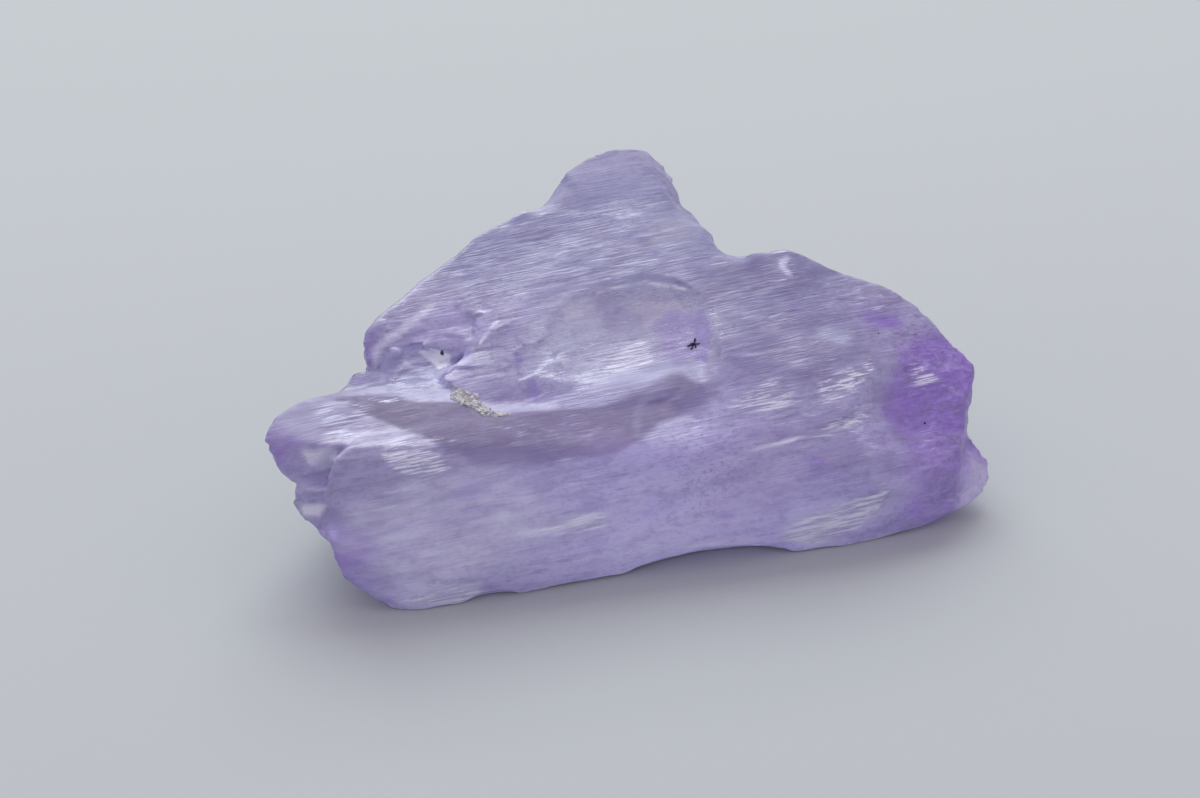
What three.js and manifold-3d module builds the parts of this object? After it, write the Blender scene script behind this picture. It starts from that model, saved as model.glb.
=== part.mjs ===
// A rough kunzite crystal: one piece of lilac spodumene as it came out of its pocket, lying on the
// flattest of its cleavage faces. Millimetres, Z up. X runs along the crystal's length, which is its
// c-axis: the cleavage plates and the growth lines follow it. Y runs from the front to the back.
//
// The crystal is built the way it formed and broke. Flat-sided cleavage plates are stacked side by side
// and grown together, and a shell-shaped chip and worn hollows are cut out of them.

import * as THREE from "three";
import { ConvexGeometry } from "three/addons/geometries/ConvexGeometry.js";
import { mergeVertices } from "three/addons/utils/BufferGeometryUtils.js";
import Module from "manifold-3d";

const wasm = await Module();
wasm.setup();

// Driving heights and depths, in mm. All corners are measured from the front left foot, where the
// crystal first meets the table.
const TABLE = 0;
const SHELF = 7.8; // inner corner of the long shelf that the upper mass stands on
const SHOULDER = 12.5; // top of the right half
const PEAK = 15.9; // highest point
const BACK = 18.4; // rearmost corner
const CHIP_BLUNTNESS = 0.7; // how steep the right and rear walls of the chip are: 1 is an even bowl
const WELD = 1e-4; // corners closer together than this are one corner
const SEGMENTS = 32; // of the round tool, around its middle
const RINGS = 20; // of the round tool, from end to end

const kunzite = new THREE.MeshStandardMaterial({
  name: "kunzite",
  color: 0x9a8fc4,
  roughness: 0.35,
  metalness: 0,
});

// A geometry as a manifold-3d solid.
function solid(geometry) {
  const bare = geometry.clone();
  bare.deleteAttribute("normal");
  bare.deleteAttribute("uv");
  const merged = mergeVertices(bare, WELD);
  const vertProperties = merged.attributes.position.array;
  const triVerts = new Uint32Array(merged.index.array);
  return new wasm.Manifold(new wasm.Mesh({ numProp: 3, vertProperties, triVerts }));
}

// A cleavage plate: the flat-sided body that has these corners.
function plate(corners) {
  return solid(new ConvexGeometry(corners.map(([x, y, z]) => new THREE.Vector3(x, y, z))));
}

// The round tool that a hollow is cut with: an ellipsoid with these radii, leaning by these degrees
// about X, Y and Z. A bluntness below 1 swells its right and rear sides and makes the walls there
// steeper.
function hollow([x, y, z], [rx, ry, rz], [leanX, leanY, leanZ] = [0, 0, 0], bluntness = 1) {
  const ball = new THREE.SphereGeometry(1, SEGMENTS, RINGS);
  const corners = ball.attributes.position;
  for (let n = 0; n < corners.count; n++) {
    const right = corners.getX(n);
    const rear = corners.getY(n);
    if (right > 0) {
      corners.setX(n, right ** bluntness);
    }
    if (rear > 0) {
      corners.setY(n, rear ** bluntness);
    }
  }
  const lean = new THREE.Euler(...[leanX, leanY, leanZ].map(THREE.MathUtils.degToRad));
  const place = new THREE.Matrix4().compose(
    new THREE.Vector3(x, y, z),
    new THREE.Quaternion().setFromEuler(lean),
    new THREE.Vector3(rx, ry, rz),
  );
  return solid(ball.applyMatrix4(place));
}

// The front plate: the left half of the long slab along the table. Its left end is rounded and leans
// out over the foot, and its face leans back a little.
const frontPlate = plate([
  [0, 0, TABLE], [1.1, -0.6, TABLE], [2.4, -0.65, TABLE], [5.0, -0.3, TABLE], [10.8, -0.7, TABLE],
  [1.0, 5.0, TABLE], [-1.5, 0.2, 1.1], [-2.4, 0.5, 2.1], [-3.0, 0.8, 3.6], [-3.4, 1.1, 4.8],
  [-3.1, 1.2, 6.4], [-2.5, 1.6, 8.1], [-1.6, 2.0, 8.5], [1.1, 2.2, 8.4], [6.0, 1.7, 7.1],
  [11.7, 0.6, 5.7], [19.5, -0.75, 6.2], [2.4, -0.8, 1.6], [10.8, -1.0, 1.5], [19.6, -1.45, 2.2],
  [19.0, 4.0, TABLE], [-2.0, 3.6, 7.2], [-1.6, 4.0, 4.4], [1.0, 5.4, 8.2], [6.8, 4.4, SHELF],
  [12.0, 3.3, SHELF - 0.1], [16.0, 4.0, 7.8],
]);

// The rear plate lies behind the front one. It reaches further left, where it ends in a worn lobe, and
// its top is the long shelf.
const rearPlate = plate([
  [-5.3, 4.2, 8.4], [-5.1, 4.5, 8.7], [-4.6, 5.0, 9.0], [-3.1, 5.6, 9.2], [-1.2, 7.0, 8.7],
  [-5.2, 3.9, 7.8], [-4.8, 3.4, 7.0], [-4.1, 2.8, 6.4], [-2.4, 2.6, 8.3], [-4.1, 6.2, 7.6],
  [-2.6, 7.6, 6.8], [7.0, 4.4, SHELF], [12.0, 3.4, SHELF - 0.1], [0.6, 7.4, SHELF + 0.3],
  [3.0, 2.8, 8.1], [0, 3.0, 1.6], [-1.0, 8.0, 3.0], [1.0, 5.0, TABLE], [3.0, 13.0, TABLE],
  [18.0, 3.0, TABLE], [22.0, 14.0, TABLE], [18.0, 12.0, SHELF], [2.0, 11.0, SHELF - 1],
]);

// A second, smaller lobe under the first one.
const lowerLobe = plate([
  [-4.2, 2.7, 6.5], [-4.4, 2.2, 5.7], [-4.1, 1.8, 4.9], [-3.4, 1.4, 4.2], [-2.9, 1.0, 3.6],
  [-3.4, 1.7, 6.4], [-4.0, 3.4, 5.2], [-2.8, 2.6, 3.4], [-1.4, 2.0, 3.6], [-1.4, 2.2, 6.8],
  [-1.6, 4.4, 4.0], [-2.4, 4.2, 6.8],
]);

// The right block carries the shoulder, a broad front face and the right end.
const rightBlock = plate([
  [20.4, 8.3, SHOULDER - 0.3], [21.4, 7.8, SHOULDER], [23.3, 7.7, SHOULDER], [24.1, 7.5, 12.2],
  [25.3, 7.0, 11.4], [26.7, 6.6, 10.8], [28.5, 6.0, 10.2], [29.6, 5.2, 9.5], [30.4, 4.4, 8.6],
  [31.4, 3.2, 7.3], [31.9, 2.7, 6.8], [12.4, 1.3, 5.4], [18.4, -0.6, 6.2], [18.2, 3.4, 9.7],
  [19.6, 6.6, 11.7], [22.0, 1.5, 9.1], [24.0, -0.8, 7.2], [24.5, -1.6, 5.2], [28.6, -0.6, 5.8],
  [30.6, 0.2, 5.4], [31.4, 1.9, 5.2], [31.2, 1.2, 3.7], [10.8, -0.7, TABLE], [11.6, -0.8, 1.5],
  [19.3, -1.5, 2.3], [19.0, -1.2, 4.4], [25.5, -1.9, 3.3], [29.5, -1.5, 3.0], [19.9, -1.2, 0.5],
  [22.2, -1.4, 0.1], [23.4, -1.5, TABLE], [25.0, -1.0, TABLE], [26.8, -1.1, TABLE], [28.1, -1.3, 0.2],
  [29.9, -1.0, 0.6], [30.6, 0.6, 1.0], [20.0, 12.5, 9.4], [25.0, 12.0, 8.4], [28.6, 10.6, 6.4],
  [29.8, 7.4, 5.0], [29.2, 6.0, 1.2], [26.0, 9.0, TABLE], [26.4, 13.8, 3.2], [20.0, 15.0, TABLE],
]);

// The toe: the lowest corner of the right end, worn to a blunt lip.
const toe = plate([
  [32.2, 0.6, 2.2], [32.0, 0, 1.5], [31.2, -0.6, 1.0], [30.0, -1.0, 0.6], [31.5, 0.9, 3.0],
  [30.6, -0.6, 2.7], [31.4, 2.2, 1.6], [28.0, 2.0, 0.6], [28.4, -1.3, 0.4], [28.6, -1.6, 3.0],
  [28.0, 2.4, 3.6], [31.2, 1.0, 3.7],
]);

// The upper mass rises in one long slope from the back of the shelf to the crest.
const upperMass = plate([
  [6.8, 4.1, SHELF], [11.8, 3.2, SHELF], [16.4, 2.9, SHELF + 0.9], [17.9, 3.1, 9.6], [7.6, 5.4, 9.2],
  [11.8, 4.0, 9.1], [16.6, 3.6, 10.0], [19.6, 6.6, 11.7], [7.9, 8.3, 10.8], [7.0, 9.8, 11.2],
  [7.1, 12.4, 12.5], [8.3, 12.9, 13.2], [10.6, 13.3, 13.8], [12.2, 13.5, 14.3], [19.9, 12.5, 12.9],
  [20.0, 11.4, 12.8], [20.4, 8.4, 12.2], [18.0, 13.4, 14.4], [6.4, 12.6, 8.0], [6.6, 7.0, 7.0],
  [8.0, 15.6, 2.0], [19.0, 16.4, 9.0], [19.0, 16.0, 1.0], [8.0, 6.0, 3.0], [18.0, 5.0, 3.0],
]);

// The tooth: a rounded spur that stands up behind the crest.
const tooth = plate([
  [12.9, 14.4, 14.6], [13.8, 14.8, 15.2], [14.9, 15.0, 15.7], [16.2, 15.1, PEAK],
  [17.3, 15.1, PEAK - 0.1], [18.1, 15.0, 15.6], [18.9, 14.8, 14.8], [19.4, 14.6, 14.0],
  [19.6, 14.0, 13.1], [11.6, 12.0, 13.4], [13.2, 9.4, 12.3], [16.6, 9.0, 12.5], [18.4, 10.0, 12.9],
  [19.4, 12.0, 13.1], [13.4, 16.2, 12.6], [16.6, 16.2, 14.6], [19.2, 16.0, 12.2], [9.4, 16.6, 5.0],
  [13.0, BACK - 0.5, 7.4], [18.0, BACK - 1.0, 7.0], [20.2, 15.6, 4.0], [9.0, 12.0, 4.0],
  [18.4, 12.0, 4.0],
]);

// The back plate: a lower slab behind the crest, the twin of the slab in front.
const backPlate = plate([
  [3.6, 13.2, TABLE], [4.4, 14.2, 5.6], [5.6, 14.8, 7.6], [8.4, 15.8, 8.6], [13.6, 17.0, 8.8],
  [19.4, 16.4, 8.2], [23.6, 14.4, 6.6], [26.4, 13.6, 3.2], [24.6, 13.8, TABLE], [6.4, 16.0, 1.0],
  [12.0, BACK, 4.4], [18.6, BACK - 0.5, 4.6], [11.0, 17.2, TABLE], [18.4, 17.0, TABLE],
  [6.0, 10.0, 1.0], [24.0, 10.0, 1.0], [8.0, 10.0, 8.0], [20.0, 10.0, 8.0],
]);

// The left end of the upper mass is snapped off in steps, each a thin plate that stops short of the one
// behind it.
const rearStep = plate([
  [1.1, 9.4, 9.9], [1.2, 9.0, 9.3], [1.2, 8.8, 8.9], [1.5, 9.9, 10.4], [2.1, 10.4, 10.6],
  [3.0, 10.8, 10.6], [4.0, 11.3, 11.2], [5.0, 11.8, 11.6], [6.1, 12.1, 12.0], [7.1, 12.4, 12.5],
  [1.7, 8.6, 8.9], [2.1, 9.0, 9.6], [3.5, 9.8, 10.3], [5.3, 10.3, 11.1], [7.0, 9.8, 11.2],
  [8.0, 9.2, 11.0], [1.8, 8.8, 8.3], [2.0, 11.6, 7.0], [5.4, 14.2, 7.0], [5.4, 8.0, 8.2],
  [3.4, 11.0, 3.0], [6.0, 14.6, 3.0], [8.0, 10.0, 5.0],
]);
const brightEdge = plate([
  [1.7, 8.7, 8.8], [2.1, 9.0, 9.6], [3.5, 9.8, 10.3], [5.2, 10.5, 11.0], [2.2, 8.3, 8.7],
  [2.7, 8.5, 9.4], [3.9, 9.2, 10.1], [5.5, 9.9, 10.8], [3.0, 9.6, 8.0], [5.6, 10.6, 9.0],
]);
const middleStep = plate([
  [3.5, 8.9, 9.9], [5.0, 9.9, 10.8], [5.5, 10.2, 10.9], [7.1, 9.8, 10.9], [8.1, 8.9, 10.4],
  [7.1, 8.2, 9.9], [5.8, 7.9, 9.6], [5.3, 7.8, 9.5], [4.2, 8.4, 9.8], [4.3, 9.2, 9.0], [6.4, 8.6, 9.0],
  [8.0, 9.0, 5.0], [5.0, 10.6, 8.0],
]);
const lowerStep = plate([
  [1.8, 8.8, 8.8], [3.6, 9.3, 9.5], [5.4, 8.5, 9.0], [4.6, 7.3, 8.6], [4.9, 6.3, 8.3], [5.4, 5.6, 8.1],
  [1.7, 6.6, 8.3], [3.0, 6.0, 8.0], [2.4, 6.4, 7.4], [3.0, 9.4, 7.6], [8.0, 8.0, 5.0],
]);
const cornerStep = plate([
  [4.3, 6.9, 9.1], [5.2, 7.4, 9.5], [6.1, 7.6, 9.8], [7.0, 7.9, 10.2], [8.0, 8.4, 10.6],
  [4.6, 6.0, 8.9], [5.1, 5.3, 8.6], [6.9, 4.3, 8.3], [7.8, 5.5, 9.3], [5.0, 6.6, 8.2],
  [5.8, 5.2, SHELF], [6.8, 4.2, SHELF], [8.0, 8.0, 5.0], [8.0, 8.6, 9.0],
]);
const splinter = plate([
  [-0.4, 8.1, 8.3], [0.4, 8.6, 8.9], [1.2, 8.7, 8.9], [2.0, 8.2, 8.6], [0.8, 7.2, 8.1], [2.2, 7.0, 7.8],
  [0, 8.4, 7.2], [2.4, 9.0, 7.6], [-0.4, 7.3, 8.1], [3.0, 9.0, 5.0],
]);

const grownTogether = [
  rearPlate, lowerLobe, rightBlock, toe, upperMass, tooth, backPlate, rearStep, brightEdge, middleStep,
  lowerStep, cornerStep, splinter,
];

// The shell-shaped chip in the slope above the shelf: it starts shallow and ends in a steep wall on the
// right.
const chip = hollow([12.9, 3.7, 11.3], [6.0, 5.0, 2.9], [28, 1, 0], CHIP_BLUNTNESS);

// Worn hollows in the right end, and the two arches under the front edge.
const worn = [
  hollow([29.0, -3.5, 9.8], [6.8, 6.0, 6.0]),
  hollow([16.0, -2.4, -1.0], [6.0, 3.0, 2.25]),
  hollow([4.9, -2.6, -0.7], [2.9, 2.6, 1.7]),
];

let crystal = frontPlate;
for (const grown of grownTogether) {
  crystal = crystal.add(grown);
}
for (const lost of [chip, ...worn]) {
  crystal = crystal.subtract(lost);
}

// A manifold-3d solid as the geometry of a mesh.
function geometryOf(made) {
  const { vertProperties, triVerts } = made.getMesh();
  const geometry = new THREE.BufferGeometry();
  geometry.setAttribute("position", new THREE.Float32BufferAttribute(vertProperties, 3));
  geometry.setIndex(new THREE.Uint32BufferAttribute(triVerts, 1));
  return geometry;
}

const mesh = new THREE.Mesh(geometryOf(crystal), kunzite);
mesh.name = "kunzite_crystal";

// The part's origin is under the middle of the crystal, on the table.
const box = new THREE.Box3().setFromObject(mesh);
const middle = box.getCenter(new THREE.Vector3());
mesh.position.set(-middle.x, -middle.y, -box.min.z);

const group = new THREE.Group();
group.add(mesh);

export default group;
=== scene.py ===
import math

import bpy
import numpy as np
from mathutils import Matrix, Vector, noise
from mathutils.bvhtree import BVHTree
from mathutils.kdtree import KDTree


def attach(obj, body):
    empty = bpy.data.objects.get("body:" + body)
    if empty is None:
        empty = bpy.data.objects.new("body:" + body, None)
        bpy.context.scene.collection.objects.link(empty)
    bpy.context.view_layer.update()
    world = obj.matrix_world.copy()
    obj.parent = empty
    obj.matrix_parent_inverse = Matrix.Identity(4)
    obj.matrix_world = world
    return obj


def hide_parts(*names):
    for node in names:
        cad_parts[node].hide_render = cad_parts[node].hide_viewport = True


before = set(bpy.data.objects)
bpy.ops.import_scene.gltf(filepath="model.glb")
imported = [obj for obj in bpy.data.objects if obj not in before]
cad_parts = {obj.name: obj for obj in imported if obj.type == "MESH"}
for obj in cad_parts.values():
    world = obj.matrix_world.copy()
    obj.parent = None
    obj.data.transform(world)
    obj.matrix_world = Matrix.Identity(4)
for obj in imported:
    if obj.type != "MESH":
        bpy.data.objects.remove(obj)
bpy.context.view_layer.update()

# ---------------------------------------------------------------------------------------------------------
# The crystal: one piece of lilac spodumene. Its long sides are cleavage faces, drawn out in fine ridges
# along its length, and its two ends are etched and worn round. A shell-shaped chip and a snapped, stepped
# end show clean inside.

MM = 0.001
LEAN = math.radians(3)  # the growth lines rise this much towards the right end
DIP = math.radians(32)  # the cleavage sheets along the growth lines dip this much towards the front
SHEET = 4  # the growth lines' sheets are this much broader than they are thick
VOXEL = 0.09  # mm, across the crystal
STRETCH = 2  # a face of the skin is twice as long as it is wide
KEPT = 0.52  # the share of the skin's faces that stay, most of them on the finest detail
CRISP, WORN, ROUNDED = 4, 80, 230  # rounds of smoothing, from the sharpest breaks to the roundest worn edges
PULL, PUSH = 0.5, -0.52  # how far a round of smoothing moves a point, towards its neighbours and then back
APART = 31.7  # noises with different seeds are cut from places this far apart


def grown(points):
    """Points in mm as (along the growth lines, across, up from them)."""
    turn = np.array([
        [math.cos(LEAN), 0, math.sin(LEAN)],
        [0, 1, 0],
        [-math.sin(LEAN), 0, math.cos(LEAN)],
    ])
    return points @ turn.T


def grain(points, along, across, seed, sheet=1):
    """Smooth noise from -1 to 1, drawn out to these lengths in mm along and across the growth lines."""
    turn = np.array([[1, 0, 0], [0, math.cos(DIP), -math.sin(DIP)], [0, math.sin(DIP), math.cos(DIP)]])
    scaled = grown(points) @ turn.T / (along, sheet * across, across) + (0, 0, APART * seed)
    return np.fromiter((noise.noise(spot) for spot in scaled), float, len(points))


def smoothed(points, edges, rounds, pulls=(PULL, PUSH)):
    """Rounds edges off. Pulling each point towards its neighbours and then back keeps the body's size."""
    count = np.bincount(edges.ravel(), minlength=len(points))[:, None]
    for pull in pulls * rounds:
        around = np.column_stack([
            np.bincount(edges[:, 0], points[edges[:, 1], axis], len(points))
            + np.bincount(edges[:, 1], points[edges[:, 0], axis], len(points))
            for axis in range(3)
        ])
        points = points + pull * (around / count - points)
    return points


def values(items, name, kind=float, width=3):
    """One property of all the vertices or edges of a mesh."""
    found = np.empty(width * len(items), dtype=kind)
    items.foreach_get(name, found)
    return found.reshape(-1, width)


def modified(mesh, kind, **settings):
    """The mesh as one of Blender's modifiers leaves it."""
    holder = bpy.data.objects.new("holder", mesh)
    bpy.context.collection.objects.link(holder)
    modifier = holder.modifiers.new(kind, kind)
    for name, value in settings.items():
        setattr(modifier, name, value)
    done = bpy.data.meshes.new_from_object(holder.evaluated_get(bpy.context.evaluated_depsgraph_get()))
    bpy.data.objects.remove(holder)
    return done


def near(points, *places, fade=0.5):
    """1 in the middle of any of these ellipsoids of (middle, radii) in mm, falling smoothly to 0."""
    best = np.zeros(len(points))
    for middle, radii in places:
        far = np.linalg.norm((grown(points) - grown(np.array(middle, float))) / radii, axis=1)
        share = np.clip((1 - far) / fade, 0, 1)
        best = np.maximum(best, share * share * (3 - 2 * share))
    return best


def grouped(spots):
    """Spots sorted so that the nearest one is found fast."""
    tree = KDTree(len(spots))
    for number, spot in enumerate(spots):
        tree.insert(spot, number)
    tree.balance()
    return tree


def facets(points, along, across, tilt, seed):
    """The rise and fall of small flat faces, of about these lengths in mm, each tilted its own way."""
    spots = grown(points) / (along, across, across)
    draw = np.random.default_rng(seed)
    low, high = spots.min(axis=0) - 1, spots.max(axis=0) + 1
    sites = draw.uniform(low, high, (int(np.prod(high - low)), 3))
    tilts = draw.normal(0, tilt, sites.shape)
    tree = grouped(sites)
    chosen = np.fromiter((tree.find(spot)[1] for spot in spots), int, len(spots))
    return ((spots - sites[chosen]) * (along, across, across) * tilts[chosen]).sum(axis=1)


# The skin starts as an even net of faces over the solid.
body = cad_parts["kunzite_crystal"].data.copy()
body.transform(Matrix.Diagonal((1 / MM / STRETCH, 1 / MM, 1 / MM, 1)))
mesh = modified(body, "REMESH", mode="VOXEL", voxel_size=VOXEL)
mesh.transform(Matrix.Diagonal((STRETCH, 1, 1, 1)))
edges = values(mesh.edges, "vertices", np.int64, 2)


def shaped(points):
    """Gives the skin these points, and returns its normals there."""
    mesh.vertices.foreach_set("co", points.ravel())
    mesh.update()
    return values(mesh.vertex_normals, "vector")


# The newest breaks keep their edges, the rest is worn, and the edges of the shelf are worn most. A place on
# the crystal is an ellipsoid of (middle, radii) in mm.
STEPS = ((-8.6, 0.2, 9.6), (5.6, 3.6, 2.6))
CHIP = ((0.6, -2.6, 10.0), (6.8, 4.6, 3.2))
CHIP_RIM = ((1.6, -0.6, 11.6), (4.6, 1.5, 1.6))
CHIP_WALL = ((4.6, -2.8, 10.4), (1.5, 2.4, 2.6))
PLATE_EDGE = ((-9.5, 0.6, 10.2), (3.2, 1.6, 1.4))
WORN_EDGES = (
    ((-4.0, -7.6, 6.9), (11.5, 2.6, 2.2)),  # the front edge of the shelf
    ((6.0, -8.2, 6.4), (7.0, 2.6, 2.4)),  # the front edge of the right block
    ((12.6, -7.6, 5.8), (6.0, 3.4, 4.5)),  # the way down to the right end
    ((6.3, -1.5, 11.2), (2.4, 5.5, 2.5)),  # the saddle
    ((-0.8, 5.2, 14.0), (1.8, 2.6, 1.8)),  # the foot of the tooth
    ((-5.0, -2.2, 9.6), (1.8, 2.2, 1.6)),  # from the steps to the chip
    ((-7.6, -1.2, 9.4), (2.4, 2.4, 1.8)),  # the foot of the steps
    ((-1.0, -4.7, 8.4), (5.0, 1.2, 1.2)),  # the lip of the chip
)
STEP_SHARPNESS = 0.35
crisp = smoothed(values(mesh.vertices, "co"), edges, CRISP)
worn = smoothed(crisp, edges, WORN)
rounded = smoothed(worn, edges, ROUNDED, (PULL,))
broken = np.maximum(STEP_SHARPNESS * near(crisp, STEPS), near(crisp, CHIP_RIM, CHIP_WALL, PLATE_EDGE))
points = worn + (crisp - worn) * broken[:, None]
points += (rounded - points) * near(crisp, *WORN_EDGES)[:, None]
normals = shaped(points)

# The steps and the two ends break up into small flat faces.
RIGHT_END = ((17.0, -6.0, 5.0), (5.0, 8.0, 7.0))
STEP_FOOT = ((-4.2, -2.6, 9.2), (2.4, 3.2, 2.2))
STEP_FACES, ETCH_FACES = (1.5, 1.0), (1.4, 1.0)  # mm, along and across the growth lines
STEP_TILT, ETCH_TILT = 0.06, 0.2  # how steep the small faces are
ETCHED = 0.22  # the share of their height that the etching left of the ends' small faces
facing_end = np.abs(grown(normals)[:, 0])
side = np.clip(1.15 - 1.6 * facing_end, 0, 1)
right_end = near(points, RIGHT_END, fade=0.4)
end = np.maximum(np.clip(2 * facing_end - 0.7, 0, 1), 0.6 * right_end)
snapped = near(points, STEPS, STEP_FOOT)
rise = (
    snapped * facets(points, *STEP_FACES, STEP_TILT, 11)
    + ETCHED * end * facets(points, *ETCH_FACES, ETCH_TILT, 12)
)
points = smoothed(points + normals * rise[:, None], edges, 1)

# Growth lines run along the sides, weaker on the front plate, the tooth, the breaks and the right end. The
# ends are pitted.
FRONT = ((-5.0, -10.0, 3.4), (13.0, 2.6, 4.4))
TOOTH = ((1.6, 6.8, 15.4), (5.5, 4.0, 2.6))
RIDGE, RIPPLE, TERRACE = 0.008, 0.008, 0.018  # mm, how high the growth lines stand
LEVELS = 2.5  # terraces from the middle height to the top
PIT, POCK = 0.3, 0.05  # mm, how deep the ends are etched
SWELLS = ((0.2, 5, 4, 7), (0.08, 2.2, 1.8, 8), (0.03, 0.9, 0.6, 16))  # mm high, along, across; and a seed
front = near(points, FRONT)
tooth = near(points, TOOTH, fade=0.4)
streaky = np.clip(0.5 + 1.4 * grain(points, 6, 2.5, 1), 0.05, 1) * (1 - 0.7 * front) * (1 - 0.6 * broken)
streaky *= (1 - 0.8 * tooth) * (1 - 0.8 * right_end)
ridges = 1 - 2 * np.abs(grain(points, 4, 0.5, 2, SHEET))
ripples = grain(points, 2.5, 0.22, 3, SHEET)
terraces = np.round(LEVELS * grain(points, 10, 1.8, 4)) / LEVELS
pits = -np.clip(grain(points, 1.1, 1.0, 5) - 0.15, 0, 1)
pocks = grain(points, 0.5, 0.45, 6)
swell = sum(height * grain(points, along, across, seed) for height, along, across, seed in SWELLS)
lines = RIDGE * ridges + RIPPLE * ripples + TERRACE * terraces
rise = swell + side * streaky * lines + end * (PIT * pits + POCK * pocks)
points = points + normals * rise[:, None]
points[:, 2] = np.maximum(points[:, 2], 0)
normals = shaped(points)
skin = BVHTree.FromPolygons([tuple(p) for p in points], [tuple(f.vertices) for f in mesh.polygons])

STITCH = 0.06  # mm, from spot to spot of a drawn line
STEEP = 1.6  # how steeply a drawn line's edges rise to its full strength
FRAY = 0.2  # how far the outline of a flat patch frays, from 0 for clean to 1
TINY = 1e-9
BROWS = 8  # rounds of smoothing that show which points stand out as small edges


def drawn(width, *lines):
    """The share of each point that is on one of these lines, drawn over the skin from corner to corner."""
    spots = []
    for corners in lines:
        for a, b in zip(corners, corners[1:]):
            a, b = Vector(a), Vector(b)
            steps = max(2, int((b - a).length / STITCH))
            spots += [skin.find_nearest(a.lerp(b, step / steps))[0] for step in range(steps + 1)]
    tree = grouped(spots)
    share = np.zeros(len(points))
    low, high = np.array(spots).min(axis=0) - width, np.array(spots).max(axis=0) + width
    for number in np.flatnonzero(((points > low) & (points < high)).all(axis=1)):
        share[number] = 1 - tree.find(points[number])[2] / width
    return np.clip(STEEP * share, 0, 1)


def painted(colour, top, share):
    """The colour of each point with another one laid over this share of it."""
    return colour + (np.array(top) - colour) * np.clip(share, 0, 1)[:, None]


def flat(corners, blur=0.15, depth=1.0):
    """1 on the part of the skin that a flat patch with these corners, in mm, lies on or passes close to."""
    corners = np.array(corners)
    middle = corners.mean(axis=0)
    sides = np.linalg.svd(corners - middle)[2]
    share = np.zeros(len(points))
    reach = np.linalg.norm(corners - middle, axis=1).max() + blur
    close = np.flatnonzero(np.linalg.norm(points - middle, axis=1) < reach)
    spots = ((1 - FRAY) * points[close] + FRAY * ragged[close] - middle) @ sides.T
    outline = ((corners - middle) @ sides.T)[:, :2]
    inside = np.zeros(len(close), dtype=bool)
    gap = np.full(len(close), reach)
    for a, b in zip(outline, np.roll(outline, -1, axis=0)):
        along = np.clip((spots[:, :2] - a) @ (b - a) / ((b - a) @ (b - a)), 0, 1)
        gap = np.minimum(gap, np.linalg.norm(spots[:, :2] - a - along[:, None] * (b - a), axis=1))
        above = (a[1] > spots[:, 1]) != (b[1] > spots[:, 1])
        crossing = a[0] + (spots[:, 1] - a[1]) * (b[0] - a[0]) / (b[1] - a[1] + TINY)
        inside ^= above & (spots[:, 0] < crossing)
    share[close] = np.clip(0.5 + np.where(inside, gap, -gap) / blur, 0, 1) * (np.abs(spots[:, 2]) < depth)
    return share


wander = np.column_stack([grain(points, 1.6, 1.0, 20 + axis) for axis in range(3)])
ragged = points + wander * (1.0, 0.5, 0.5)
bulge = ((points - smoothed(points, edges, BROWS, (PULL,))) * normals).sum(axis=1) / VOXEL

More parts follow.
